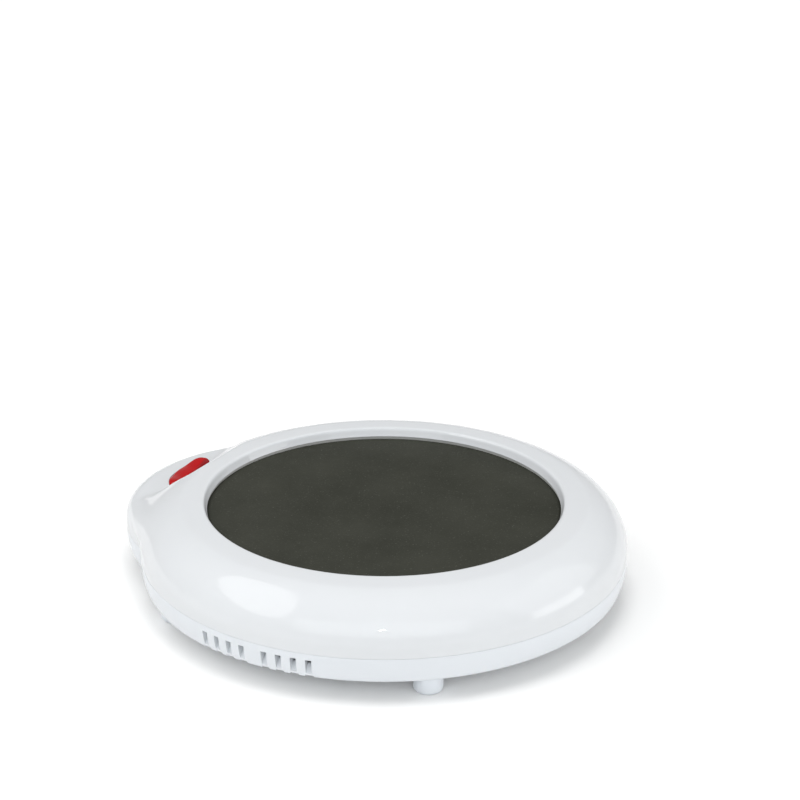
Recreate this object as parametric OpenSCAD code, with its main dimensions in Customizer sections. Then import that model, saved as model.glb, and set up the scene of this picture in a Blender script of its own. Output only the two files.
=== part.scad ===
// Electric mug warmer: a round ring-shaped case with a rear lobe, a recessed
// warming plate, a rocker switch on the lobe and a split two-part housing.
// +Z is up, z = 0 is the table under the feet, the Z axis goes through the
// middle of the case's outline and the lobe points along +Y.

/* [Case] */
// Largest radius of the round case
case_r = 63; // [62.6:0.1:64]
// Radius of the case at its bottom edge
bottom_r = 61.5; // [61:0.1:62]
// Height of the case bottom above the table
foot_h = 5.5; // [4:0.5:8]
// Height of the seam between base and cover above the case bottom
seam_h = 6.7; // [6.5:0.1:7]
// Height of the cover's straight wall above the seam
wall_h = 2.3; // [2:0.1:2.5]
// Height of the dome above the straight wall
dome_h = 11.6; // [11.4:0.1:12]
// Fullness of the dome's curve, 2 is an ellipse
dome_n = 1.86; // [1.7:0.02:2.2]
// Radius where the flat top band ends and the dome starts
band_r = 51.5; // [50.5:0.1:52]
// Wall thickness of the mouldings
wall = 2; // [1.8:0.1:2.1]

/* [Lobe] */
// Distance of the lobe's own axis behind the plate's axis
lobe_y = 34; // [33.5:0.1:34.5]
// Radius of the lobe at its widest
lobe_r = 39; // [38.8:0.1:39.4]
// Height of the deck's outer edge above the case bottom
deck_h = 12.95; // [12.9:0.05:13.4]
// Slope of the deck, falling away from the lobe's axis, in degrees
deck_slope = 5; // [4.5:0.5:6]
// Rounding of the deck's outer edge
deck_edge = 3.85; // [3:0.05:3.9]
// Where the sloping flat above the deck meets the deck, from the plate's axis
flat_y = 60.2; // [60:0.1:60.3]
// Slope of that flat, in degrees
flat_slope = 38; // [36:0.5:39]

/* [Warming plate] */
// Radius of the plate that shows inside the cover's opening
plate_show_r = 45.5; // [45:0.1:45.6]
// Radius of the cover's opening at its top edge
rim_r = 46.6; // [46.4:0.1:46.8]
// Depth of the plate below the cover's top edge
recess = 2.8; // [2.6:0.1:3]
// Thickness of the plate
plate_t = 1; // [0.8:0.1:1]
// Radius of the three clamp studs' circle
stud_pcr = 24; // [23.5:0.5:24.5]

/* [Switch] */
// Half the length of the rocker at the deck
rocker_half = 9.6; // [9.4:0.1:9.7]
// Distance of the rocker's straight side from the plate's axis
rocker_y = 60.2; // [60.1:0.1:60.3]
// Radius of the rocker's curved side
rocker_arc = 12.25; // [12.2:0.05:12.3]
// Angle that the rocker turns through from one stop to the other
rocker_throw = 13; // [10:1:13]
// Height of the rocker's pin above the case bottom
pivot_h = 9.6; // [9.5:0.1:9.7]
// Radius of the rocker's pin
pin_r = 0.9; // [0.8:0.05:0.9]

/* [Vents] */
// Width of one vent slot
vent_w = 1.6; // [1.2:0.1:1.9]
// Angle between neighbouring slots, in degrees
vent_pitch = 3.53; // [3.4:0.01:3.7]
// Angle from the middle of the group to the first slot, in degrees
vent_first = 2.9; // [2.7:0.1:3.1]

/* [Feet and fasteners] */
// Radius of a foot
foot_r = 3.65; // [3.2:0.05:4]
// Sideways distance of a foot from the middle
foot_x = 42.3; // [41.5:0.1:43]
// Fore and aft distance of a foot from the middle
foot_y = 36.7; // [36:0.1:37.2]
// Radius of the case screws' shank
case_screw_r = 1.45; // [1.3:0.05:1.45]

/* [Cord outlet] */
// Angle of the outlet round the lobe, from +Y, in degrees
gland_az = 42.5; // [41.5:1:43.5]
// Radius of the hole for the cord
gland_bore_r = 2.6; // [2.4:0.1:2.7]

/* [Hidden] */
$fn = 96;

z_bot = foot_h;
z_seam = z_bot + seam_h;
z_wall = z_seam + wall_h;
// The outlet sits a little low, so that the base holds it while the case is open
gland_z = z_seam - 0.5;
z_top = z_wall + dome_h;
z_plate = z_top - recess;
z_deck = z_bot + deck_h;
z_pivot = z_bot + pivot_h;
floor_t = 2;
mid_y = (lobe_y + lobe_r - case_r) / 2;
tilt = rocker_throw / 2;
tan_deck = tan(deck_slope);
// Height of the deck and of the sloping flat where they meet on the Y axis
z_flat = z_deck + tan_deck * (lobe_r - deck_edge - (flat_y - lobe_y));
// Reach of the rocker's ends from its pin, and the height of its top over it
end_r = sqrt(pow(rocker_half + 0.1, 2) + pow(z_flat - z_pivot, 2));
y_pivot = 62.6;
lever_z = z_bot + 4.8;
lever_ratio = 16 / 13;
spring_r = 0.85;
spring_pitch = 0.42;
studs = [90, 210, 330];
boss_at = [[0, -54.5], [30, 45.5], [-30, 45.5]];
gland_dir = [sin(gland_az), cos(gland_az)];

function dome_pts(r0, r1, z0, z1, n, k) =
    [for (i = [0:k]) let (a = 90 * i / k)
        [r0 + (r1 - r0) * pow(cos(a), 2 / n), z0 + (z1 - z0) * pow(sin(a), 2 / n)]];
function edge_pts(rc, zc, r, a1, k) =
    [for (i = [0:k]) let (a = a1 * i / k) [rc + r * cos(a), zc + r * sin(a)]];

// The parts are drawn about the plate's axis and stand about the case's middle
module place() {
    translate([0, -mid_y, 0]) children();
}

// ---------------------------------------------------------------- outlines
module plan(d) {
    circle(r = case_r - d, $fn = 180);
    translate([0, lobe_y]) circle(r = lobe_r - d, $fn = 120);
}

module ring_outer() {
    rotate_extrude($fn = 180)
        polygon(concat(
            [[plate_show_r, z_seam], [plate_show_r, z_plate + 0.55],
             [rim_r - 0.05, z_top - 0.35], [rim_r + 0.08, z_top - 0.1], [rim_r + 0.35, z_top]],
            [for (i = [0:14]) dome_pts(band_r, case_r, z_wall, z_top, dome_n, 14)[14 - i]],
            [[case_r, z_seam]]));
}

module ring_inner() {
    rotate_extrude($fn = 180)
        polygon(concat(
            [[0, z_bot], [0, z_top + 4], [plate_show_r, z_top + 4], [plate_show_r, z_plate + 0.55],
             [48.6, z_plate + 0.55], [48.6, z_top - wall]],
            [for (i = [0:10]) dome_pts(band_r - 0.4, case_r - wall, z_wall, z_top - wall, dome_n, 10)[10 - i]],
            [[case_r - wall, z_bot]]));
}

module lobe_solid(d, zlow) {
    zd = z_deck - d;
    re = deck_edge - d;
    rc = lobe_r - deck_edge;
    translate([0, lobe_y, 0])
        rotate_extrude($fn = 120)
            polygon(concat(
                [[0, zlow], [lobe_r - d, zlow]],
                edge_pts(rc, z_deck - deck_edge, re, 90 - deck_slope, 8),
                [[0, z_deck - d + tan_deck * rc]]));
}

// Half-space above the sloping flat, lowered by d
module above_flat(d) {
    translate([0, flat_y, z_flat])
        rotate([-flat_slope, 0, 0])
            translate([-40, -40, -d])
                cube([80, 60, 30]);
}

module rocker_plan(gap) {
    intersection() {
        translate([0, rocker_y + sqrt(pow(rocker_arc, 2) - pow(rocker_half, 2)) * -1])
            circle(r = rocker_arc + gap, $fn = 96);
        translate([-end_r - gap, rocker_y - gap * 0.6]) square([2 * (end_r + gap), 12]);
    }
}

// ---------------------------------------------------------------- case
module top_cover() {
    color("white") place()
    difference() {
        union() {
            difference() {
                union() {
                    difference() { ring_outer(); above_flat(0); }
                    lobe_solid(0, z_seam);
                }
                difference() { ring_inner(); above_flat(wall); }
                lobe_solid(wall, z_bot);
                translate([0, 0, z_bot]) cylinder(r = plate_show_r, h = 40);
            }
            // register skirt that locates inside the base wall
            translate([0, 0, z_seam - 1.4]) linear_extrude(1.4)
                difference() { plan(2.5); plan(3.4); }
            translate([0, 0, z_seam]) linear_extrude(1)
                difference() { plan(0.8); plan(3.4); }
            // screw bosses, trimmed to the inside of the dome
            intersection() {
                for (p = boss_at) translate([p[0], p[1], z_bot + 5.55]) cylinder(r = 3.2, h = 30);
                union() { ring_inner(); translate([0, 0, z_bot]) cylinder(r = 3, h = 1); }
            }
            intersection() {
                for (s = [-1, 1]) translate([s * 53.2, 0, z_bot + 11]) cylinder(r = 3, h = 30);
                ring_inner();
            }
            intersection() {
                for (s = [-1, 1]) translate([s * 15.2, 62, z_bot + 8.55]) cylinder(r = 2.3, h = 30);
                lobe_solid(wall - 0.3, z_bot);
            }
        }
        // pilot holes
        for (p = boss_at) translate([p[0], p[1], z_bot + 5]) cylinder(r = case_screw_r + 0.05, h = 6.5);
        for (s = [-1, 1]) translate([s * 53.2, 0, z_bot + 10]) cylinder(r = 1.25, h = 6);
        for (s = [-1, 1]) translate([s * 15.2, 62, z_bot + 8]) cylinder(r = 1.05, h = 2.75);
        // opening for the rocker
        translate([0, 0, z_bot + 8]) linear_extrude(20) rocker_plan(0.6);
        // upper half of the cord outlet, and room for its flange and wall
        gland_hole();
        translate([0, lobe_y, z_seam - 2]) rotate([0, 0, -gland_az])
            translate([-6.8, lobe_r - 7, 0]) cube([13.6, 5, 3.2]);
    }
}

module gland_hole() {
    translate([0, lobe_y, gland_z]) rotate([0, 0, -gland_az])
        translate([0, lobe_r - 8, 0]) rotate([-90, 0, 0]) cylinder(r = 3.5, h = 14, $fn = 64);
}

module base_ring(zt) {
    rotate_extrude($fn = 180)
        polygon([[0, z_bot], [bottom_r - 1.2, z_bot], [bottom_r - 0.35, z_bot + 0.35], [bottom_r, z_bot + 1.1],
                 [bottom_r + 0.8, z_bot + 3.4], [case_r, zt], [0, zt]]);
}

module base_lobe(zt) {
    d = case_r - lobe_r;
    translate([0, lobe_y, 0]) rotate_extrude($fn = 120)
        polygon([[0, z_bot], [bottom_r - d - 1.2, z_bot], [bottom_r - d - 0.35, z_bot + 0.35], [bottom_r - d, z_bot + 1.1],
                 [bottom_r - d + 0.8, z_bot + 3.4], [lobe_r, zt], [0, zt]]);
}

module vent_cut() {
    // window through the wall, a ramp below it and a notch at the bottom edge
    translate([0, vent_w / 2, 0]) rotate([90, 0, 0])
        linear_extrude(vent_w)
            polygon([[58, z_bot + 5], [66, z_bot + 5], [66, z_bot + 1], [62.2, z_bot + 1], [62.2, z_bot - 1], [59.8, z_bot - 1],
                     [59.8, z_bot + 0.6], [61.4, z_bot + 1.2], [60.2, z_bot + 3.4], [58, z_bot + 3.4]]);
}

module base_shell() {
    color("white") place()
    difference() {
        union() {
            difference() {
                union() { base_ring(z_seam); base_lobe(z_seam); }
                translate([0, 0, z_bot + floor_t]) linear_extrude(20) plan(2.4);
            }
            // screw pillars
            for (p = boss_at) translate([p[0], p[1], z_bot]) cylinder(r = 4.2, h = 5.5);
            // cord clamp bosses and the saddle between them
            at_clamp() {
                for (s = [-1, 1]) translate([s * 5.4, 0, 0]) cylinder(r = 2.1, h = 8);
                translate([-3.4, -1.5, 0]) cube([6.8, 3, 3.3]);
            }
            // wall that takes the gland
            translate([0, lobe_y, z_bot + 1.5]) rotate([0, 0, -gland_az])
                translate([-6.5, lobe_r - 5, 0]) cube([13, 2.9, seam_h - 1.8]);
        }
        for (p = boss_at) translate([p[0], p[1], z_bot]) {
            translate([0, 0, -1]) cylinder(r = 3.1, h = 4);
            translate([0, 0, -1]) cylinder(r = 1.7, h = 10);
        }
        at_clamp() for (s = [-1, 1]) translate([s * 5.4, 0, 1.8]) cylinder(r = 1.05, h = 8);
        for (sx = [-1, 1], sy = [-1, 1]) translate([sx * foot_x, sy * foot_y, z_bot - 1]) cylinder(r = 2.05, h = 6);
        for (s = [0, 1], k = [0:3], m = [-1, 1])
            rotate([0, 0, 180 * s + m * (vent_first + k * vent_pitch)]) vent_cut();
        gland_hole();
        gland_seat();
    }
}

// Room for the gland's inner flange
module gland_seat() {
    translate([0, lobe_y, gland_z]) rotate([0, 0, -gland_az])
        translate([0, lobe_r - 5.6, 0]) rotate([-90, 0, 0]) cylinder(r = 4.2, h = 2.2, $fn = 64);
}

module at_clamp() {
    translate([gland_dir[0] * (lobe_r - 12), lobe_y + gland_dir[1] * (lobe_r - 12), z_bot])
        rotate([0, 0, -gland_az]) children();
}

module feet() {
    color("white") place()
    for (sx = [-1, 1], sy = [-1, 1]) translate([sx * foot_x, sy * foot_y, 0])
        rotate_extrude($fn = 64)
            polygon([[0, 0], [foot_r - 1.3, 0], [foot_r - 0.65, 0.17], [foot_r - 0.17, 0.65], [foot_r, 1.3],
                     [foot_r, foot_h], [2, foot_h], [2, foot_h + floor_t], [2.6, foot_h + floor_t],
                     [2.2, foot_h + floor_t + 1.4], [0, foot_h + floor_t + 1.4]]);
}

module screw(r, len, hr, hh) {
    difference() {
        union() {
            cylinder(r = r, h = len, $fn = 32);
            translate([0, 0, -hh]) cylinder(r = hr, h = hh, $fn = 48);
        }
        // cross recess
        for (a = [0, 90]) rotate([0, 0, a]) translate([-hr * 0.62, -hr * 0.13, -hh - 0.01]) cube([hr * 1.24, hr * 0.26, hh * 0.55]);
    }
}

module case_screws() {
    color("silver") place()
    for (p = boss_at) translate([p[0], p[1], z_bot + 2.98]) screw(case_screw_r, 7.6, 2.7, 1.9);
}

// ---------------------------------------------------------------- heater
module warming_plate() {
    color("#3a3b34") place()
    union() {
        rotate_extrude($fn = 180)
            polygon([[0, z_plate - plate_t], [47, z_plate - plate_t], [47, z_plate - 4.2], [48, z_plate - 4.2],
                     [48, z_plate - 0.6], [47.7, z_plate - 0.3], [plate_show_r - 0.05, z_plate - 0.3],
                     [plate_show_r - 0.2, z_plate], [0, z_plate]]);
        for (a = studs) rotate([0, 0, a]) translate([stud_pcr, 0, z_plate - 6.6])
            cylinder(r = 1.45, h = 6.2, $fn = 32);
    }
}

module plate_gasket() {
    color("gainsboro") place()
    translate([0, 0, z_plate - 0.28]) difference() {
        cylinder(r = 47.5, h = 0.8, $fn = 180);
        translate([0, 0, -1]) cylinder(r = 45.9, h = 3, $fn = 180);
    }
}

module mica(z) {
    color("tan") place()
    translate([0, 0, z]) difference() {
        cylinder(r = 42, h = 0.4, $fn = 120);
        for (a = studs) rotate([0, 0, a]) translate([stud_pcr, 0, -1]) cylinder(r = 1.8, h = 3, $fn = 32);
        if (z < z_plate - plate_t - 0.6)
            for (s = [-1, 1]) translate([s * 3 - 1.4, -43, -1]) cube([2.8, 7.5, 3]);
    }
}

module upper_mica() { mica(z_plate - plate_t - 0.42); }
module lower_mica() { mica(z_plate - plate_t - 1.4); }

// Flat ribbon laid in a serpentine of arcs joined by short links
module heater_element() {
    z = z_plate - plate_t - 0.96;
    rr = [10, 15, 20, 28, 33, 38];
    open_a = 16;
    color("darkgray") place()
    translate([0, 0, z]) {
        for (i = [0:5]) rotate([0, 0, -90 + open_a / 2 + (i == 0 ? 4 : 0)])
            rotate_extrude(angle = 360 - open_a - (i == 0 ? 8 : 0), $fn = 120)
                translate([rr[i] - 0.7, 0]) square([1.4, 0.5]);
        // alternate ends are linked, the outer arc's ends go to the terminals
        for (i = [0:4]) let (s = i % 2 == 0 ? 1 : -1)
            rotate([0, 0, -90 + s * (open_a / 2 + (i == 0 ? 4 : 0) + 0.6)])
                translate([rr[i] - 0.7, -0.7, 0]) cube([rr[i + 1] - rr[i] + 1.4, 1.4, 0.5]);
        // return link from the innermost arc to the gap, then out to its terminal
        translate([-0.9, -38.6, 0]) cube([1.4, 31, 0.5]);
        translate([-2.6, -9, 0]) cube([3.1, 1.4, 0.5]);
        // tabs that lie over the terminals
        translate([-0.9, -38.6, 0]) cube([4.5, 1.4, 0.5]);
        translate([-5.9, -38.6, 0]) cube([3.7, 1.4, 0.5]);
    }
}

module element_terminals() {
    color("goldenrod") place()
    for (s = [-1, 1]) translate([s * 3, 0, 0]) {
        translate([-1, -40.5, z_plate - plate_t - 1.38]) cube([2, 4, 0.4]);
        translate([-1, -40.5, z_plate - plate_t - 7.4]) cube([2, 0.5, 6.4]);
    }
}

module clamp_plate() {
    z = z_plate - plate_t - 2.22;
    color("silver") place()
    translate([0, 0, z]) difference() {
        union() {
            cylinder(r = 40, h = 0.8, $fn = 120);
        }
        for (a = studs) rotate([0, 0, a]) translate([stud_pcr, 0, -1]) cylinder(r = 1.7, h = 4, $fn = 32);
        for (s = [-1, 1]) translate([s * 3 - 1.6, -43, -1]) cube([3.2, 8, 4]);
        // pilot for the fuse clip's screw
        translate([7.1, 21, -1]) cylinder(r = 1.05, h = 4, $fn = 32);
    }
}

module clamp_nuts() {
    z = z_plate - plate_t - 2.24 - 2.2;
    color("silver") place()
    for (a = studs) rotate([0, 0, a]) translate([stud_pcr, 0, z]) difference() {
        cylinder(r = 3.1, h = 2.2, $fn = 6);
        translate([0, 0, -1]) cylinder(r = 1.5, h = 5, $fn = 32);
    }
}

// Joggled strap that holds the heater up against the cover's lip
module heater_bracket() {
    z1 = z_plate - plate_t - 2.24;
    z0 = z_bot + 10.98;
    color("silver") place()
    difference() {
        union() {
            rotate([90, 0, 0]) translate([0, 0, -4]) linear_extrude(8)
                polygon([[-56.4, z0], [-56.4, z0 - 1], [-49, z0 - 1], [-44.6, z1 - 1], [44.6, z1 - 1], [49, z0 - 1], [56.4, z0 - 1],
                         [56.4, z0], [48.5, z0], [44, z1], [-44, z1], [-48.5, z0]]);
        }
        for (s = [-1, 1]) translate([s * 53.2, 0, z0 - 2]) cylinder(r = 1.5, h = 4, $fn = 32);
    }
}

module heat_shield() {
    z0 = z_bot + 9.96;
    color("lightgray") place()
    difference() {
        union() {
            rotate_extrude($fn = 120)
                polygon([[0, z_bot + 7.2], [44.5, z_bot + 7.2], [47.6, z0 - 0.5], [50.5, z0 - 0.5], [50.5, z0], [47.3, z0],
                         [44.2, z_bot + 7.7], [0, z_bot + 7.7]]);
            for (s = [-1, 1]) intersection() {
                translate([s * 53 - 4.2, -4.5, z0 - 0.5]) cube([8.4, 9, 0.5]);
                translate([s * 53.2, 0, z0 - 2]) cylinder(r = 4.2, h = 4);
            }
            for (s = [-1, 1]) translate([s * 50.4 - 1, -4, z0 - 0.5]) cube([2, 8, 0.5]);
        }
        for (s = [-1, 1]) translate([s * 53.2, 0, z0 - 2]) cylinder(r = 1.5, h = 4, $fn = 32);
        // outlet for the leads
        translate([10, 30, z_bot + 5]) cylinder(r = 4, h = 6);
        translate([3, -41.2, z_bot + 5]) cylinder(r = 2.6, h = 6);
    }
}

module bracket_screws() {
    color("silver") place()
    for (s = [-1, 1]) translate([s * 53.2, 0, z_bot + 9.44]) screw(1.2, 6, 2.4, 1.6);
}

fuse_z = z_plate - plate_t - 2.26 - 2.6;
module thermal_fuse() {
    color("#b8bcc0") place()
    translate([-6, 15, fuse_z]) rotate([0, 90, 0]) rotate_extrude($fn = 48)
        polygon([[0, 0], [0.5, 0], [0.5, 6], [1.4, 7], [2, 7.3], [2, 17.3], [1.4, 17.9], [0.5, 18.4], [0.5, 24], [0, 24]]);
}

module fuse_sleeve() {
    color("ivory") place()
    translate([-2, 15, fuse_z]) rotate([0, 90, 0]) difference() {
        cylinder(r = 2.5, h = 17, $fn = 48);
        translate([0, 0, -1]) cylinder(r = 2.06, h = 20, $fn = 48);
    }
}

// Strap under the sleeve, screwed to the clamp plate beside it
module fuse_clip() {
    z1 = z_plate - plate_t - 2.24;
    color("silver") place()
    difference() {
        union() {
            translate([3, 15, fuse_z]) rotate([0, 90, 0]) difference() {
                cylinder(r = 3.05, h = 7, $fn = 48);
                translate([0, 0, -1]) cylinder(r = 2.55, h = 9, $fn = 48);
                translate([-8, -8, -1]) cube([8, 16, 9]);
            }
            for (s = [-1, 1]) translate([3, 15 + s * 2.8 - 0.25, fuse_z]) cube([7, 0.5, z1 - fuse_z]);
            translate([4.2, 17.55, z1 - 0.5]) cube([5.8, 6, 0.5]);
        }
        translate([7.1, 21, z1 - 2]) cylinder(r = 1.2, h = 4, $fn = 32);
    }
}

module clip_screw() {
    color("silver") place()
    translate([7.1, 21, z_plate - plate_t - 2.76]) screw(1.0, 1.3, 2, 1.4);
}

// ---------------------------------------------------------------- switch
// Everything here is drawn with the rocker level, then turned to its stop
module at_pivot(a) {
    translate([0, y_pivot, z_pivot]) rotate([0, a, 0]) translate([0, -y_pivot, -z_pivot]) children();
}

module switch_rocker() {
    color("red") place()
    at_pivot(-tilt) difference() {
        union() {
            intersection() {
                translate([0, 0, z_bot + 8.4]) linear_extrude(14) rocker_plan(0);
                translate([0, y_pivot + 10, z_pivot]) rotate([90, 0, 0]) cylinder(r = end_r, h = 20, $fn = 120);
                // two flats that meet in a shallow valley over the pin
                translate([0, rocker_y, z_flat + 0.08]) rotate([90 - deck_slope, 0, 0]) translate([0, 0, -20])
                    linear_extrude(40)
                        polygon([[-14, -20], [14, -20], [14, 14 * tan(tilt)], [0, 0], [-14, 14 * tan(tilt)]]);
            }
            // hub round the pin and the plunger
            translate([-3, 59.5, z_bot + 6.2]) cube([6, 5.4, 4.4]);
            translate([-5, 60.3, z_bot + 8.4]) cube([10, 3.6, 2]);
        }
        translate([0, 50, z_pivot]) rotate([-90, 0, 0]) cylinder(r = pin_r + 0.06, h = 30, $fn = 48);
        translate([0, y_pivot - 0.4, z_bot + 5]) cylinder(r = 1.3, h = 3.3, $fn = 32);
    }
}

module rocker_pin() {
    color("silver") place()
    translate([0, 57.9, z_pivot]) rotate([-90, 0, 0]) cylinder(r = pin_r, h = 8.6, $fn = 48);
}

module switch_plunger() {
    color("ivory") place()
    at_pivot(-tilt) translate([0, y_pivot - 0.4, z_bot + 5.3]) rotate_extrude($fn = 32)
        polygon([[0, 0], [0.5, 0.12], [0.9, 0.5], [1.1, 1], [1.1, 1.6], [0, 1.6]]);
}

module plunger_spring() {
    color("silver") place()
    // half turns tipped to and fro, so that each starts where the last one ends
    at_pivot(-tilt) translate([0, y_pivot - 0.4, z_bot + 7.22])
        for (i = [0:4]) let (s = i % 2 == 0 ? 1 : -1)
            translate([0, 0, i * spring_pitch / 2])
                rotate([0, s * asin(spring_pitch / 4 / spring_r), 0])
                    rotate([0, 0, i * 180]) rotate_extrude(angle = 180, $fn = 48)
                        translate([spring_r, 0]) circle(r = 0.15, $fn = 24);
}

module contact_lever() {
    color("goldenrod") place()
    translate([0, y_pivot - 0.4, lever_z]) rotate([0, tilt * lever_ratio, 0]) difference() {
        union() {
            translate([-6.5, -1.7, -0.25]) cube([13, 3.4, 0.5]);
            translate([-5.4, 0, -0.4]) cylinder(r = 1.1, h = 0.4, $fn = 32);
        }
        translate([-0.5, -3, -0.3]) cube([1, 6, 0.1]);
    }
}

module switch_housing() {
    color("#202020") place()
    difference() {
        union() {
            translate([-11.8, 57.8, z_bot + 2.2]) cube([23.6, 8.8, 8.3]);
            // ears round the pin
            translate([-2.4, 57.8, z_bot + 2.2]) cube([4.8, 1.3, 9.0]);
            translate([-2.4, 65.3, z_bot + 2.2]) cube([4.8, 1.3, 8.9]);
            // fixing tabs
            for (s = [-1, 1]) translate([s * 14.6 - 2.9, 60.3, z_bot + 7.0]) cube([5.8, 3.7, 1.5]);
        }
        translate([-10.8, 59.1, z_bot + 2.8]) cube([21.6, 6.2, 20]);
        translate([0, 50, z_pivot]) rotate([-90, 0, 0]) cylinder(r = pin_r + 0.02, h = 30, $fn = 48);
        for (s = [-1, 1]) {
            translate([s * 15.2, 62, z_bot + 5]) cylinder(r = 1.2, h = 6, $fn = 32);
            // slots for the terminals
            translate([s * 11.3 - 1, 60.15, z_bot + 2.75]) cube([2, 4.1, 0.5]);
        }
    }
}

module housing_screws() {
    color("silver") place()
    for (s = [-1, 1]) translate([s * 15.2, 62, z_bot + 6.98]) screw(1.0, 3.6, 1.75, 1.2);
}

module common_terminal() {
    color("goldenrod") place()
    union() {
        translate([-1.2, 60.4, z_bot + 2.8]) cube([17.4, 3.6, 0.4]);
        translate([-0.3, 60.7, z_bot + 3.1]) cube([0.6, 3, 1.3]);
    }
}

module load_terminal() {
    color("goldenrod") place()
    union() {
        translate([-16.2, 60.4, z_bot + 2.8]) cube([12.4, 3.6, 0.4]);
        translate([-5.35, 62.2, z_bot + 3.0]) cylinder(r = 1.1, h = 0.3, $fn = 32);
    }
}

// ---------------------------------------------------------------- wiring
module wire(p, r) {
    for (i = [0:len(p) - 2]) hull() {
        translate(p[i]) sphere(r = r, $fn = 14);
        translate(p[i + 1]) sphere(r = r, $fn = 14);
    }
}

module switch_lead() {
    color("white") place()
    wire([[-17.2, 62.2, z_bot + 3], [-19.2, 60, z_bot + 3.3], [-18.5, 51, z_bot + 4.4],
          [6, 33, z_bot + 5], [10, 30, z_bot + 6.4], [10, 30, z_bot + 10], [26, 22, z_bot + 11.4], [24.7, 15, fuse_z]], 0.9);
}

module fuse_lead() {
    color("white") place()
    wire([[-6.95, 15, fuse_z], [-10, 11, fuse_z - 0.4], [-10, -34, z_bot + 10.6], [-7.5, -40.2, z_bot + 10.2], [-4.95, -40.25, z_bot + 10.2]], 0.9);
}

module heater_lead() {
    color("white") place()
    wire([[3, -41.2, z_plate - plate_t - 8.4], [3, -41.4, z_bot + 5.4], [3, -36, z_bot + 4.2], [10, -10, z_bot + 3.6], [17, 20, z_bot + 3.6],
          [16.5, 36, z_bot + 3.8], [14.1, 42.7, z_bot + 4.2]], 0.9);
}

module splice_caps() {
    color("ivory") place()
    union() {
        translate([13.6, 43.7, z_bot + 4.3]) rotate([0, 90, 112]) rotate_extrude($fn = 48)
            polygon([[0, 0.05], [1.7, 0.05], [2, 0.6], [1.85, 7.4], [1.3, 8], [0, 8]]);
        // crimp sleeve between the fuse's tail and the switch lead
        translate([18.05, 15, fuse_z]) rotate([0, 90, 0]) rotate_extrude($fn = 48)
            polygon([[0, 0], [1.3, 0], [1.55, 0.4], [1.55, 5.2], [1.3, 5.6], [0, 5.6]]);
    }
}

// ---------------------------------------------------------------- cord outlet
module cord_gland() {
    color("white") place()
    translate([0, lobe_y, gland_z]) rotate([0, 0, -gland_az]) translate([0, lobe_r - 5.3, 0]) rotate([-90, 0, 0])
        rotate_extrude($fn = 64)
            polygon([[gland_bore_r, 0], [4.05, 0], [4.05, 1.6], [3.44, 1.6], [3.44, 5.75], [4.5, 5.75], [4.5, 6.5], [4.1, 7], [gland_bore_r, 7]]);
}

module cord_clamp() {
    color("white") place()
    at_clamp() translate([0, 0, 8.02]) difference() {
        union() {
            translate([-5.4, -1.9, 0]) cube([10.8, 3.8, 1.4]);
            for (s = [-1, 1]) translate([s * 5.4, 0, 0]) cylinder(r = 1.9, h = 1.4, $fn = 48);
        }
        for (s = [-1, 1]) translate([s * 5.4, 0, -1]) cylinder(r = 1.2, h = 4, $fn = 32);
        translate([0, -3, -2.1]) rotate([-90, 0, 0]) cylinder(r = 2.7, h = 6, $fn = 48);
    }
}

module clamp_screws() {
    color("silver") place()
    at_clamp() for (s = [-1, 1]) translate([s * 5.4, 0, 9.44]) mirror([0, 0, 1]) screw(1.0, 6.6, 1.75, 1.0);
}

// ---------------------------------------------------------------- output
top_cover();
base_shell();
feet();
case_screws();
warming_plate();
plate_gasket();
upper_mica();
heater_element();
lower_mica();
element_terminals();
clamp_plate();
clamp_nuts();
heater_bracket();
bracket_screws();
heat_shield();
thermal_fuse();
fuse_sleeve();
fuse_clip();
clip_screw();
switch_rocker();
rocker_pin();
switch_plunger();
plunger_spring();
contact_lever();
switch_housing();
housing_screws();
common_terminal();
load_terminal();
switch_lead();
fuse_lead();
heater_lead();
splice_caps();
cord_gland();
cord_clamp();
clamp_screws();
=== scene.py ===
import math

import bmesh
import bpy
import numpy as np
from mathutils import Matrix, Vector


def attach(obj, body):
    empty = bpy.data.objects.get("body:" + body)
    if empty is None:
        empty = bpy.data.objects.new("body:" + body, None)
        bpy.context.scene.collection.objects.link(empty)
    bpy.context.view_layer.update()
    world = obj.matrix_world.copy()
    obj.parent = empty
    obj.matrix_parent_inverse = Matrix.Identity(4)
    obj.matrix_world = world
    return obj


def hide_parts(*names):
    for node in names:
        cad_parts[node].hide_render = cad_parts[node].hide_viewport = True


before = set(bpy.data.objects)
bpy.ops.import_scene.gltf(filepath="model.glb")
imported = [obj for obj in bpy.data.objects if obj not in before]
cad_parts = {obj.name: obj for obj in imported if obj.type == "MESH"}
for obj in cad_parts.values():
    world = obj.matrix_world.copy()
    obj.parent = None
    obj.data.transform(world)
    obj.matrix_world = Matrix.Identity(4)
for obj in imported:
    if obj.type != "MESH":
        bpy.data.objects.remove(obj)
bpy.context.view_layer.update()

# Lengths below are millimetres about the warming plate's axis. MID_Y is that axis's distance in front of the frame's origin.
MID_Y = 5.0
Z_BOT, Z_SEAM, Z_TOP, Z_PLATE = 5.5, 12.2, 26.1, 23.3
LOBE_Y, LOBE_R = 34.0, 39.0
GLAND_AZ = math.radians(42.5)


def to_m(p):
    p = np.asarray(p, float).reshape(-1, 3).copy()
    p[:, 1] -= MID_Y
    return p / 1000.0


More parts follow.
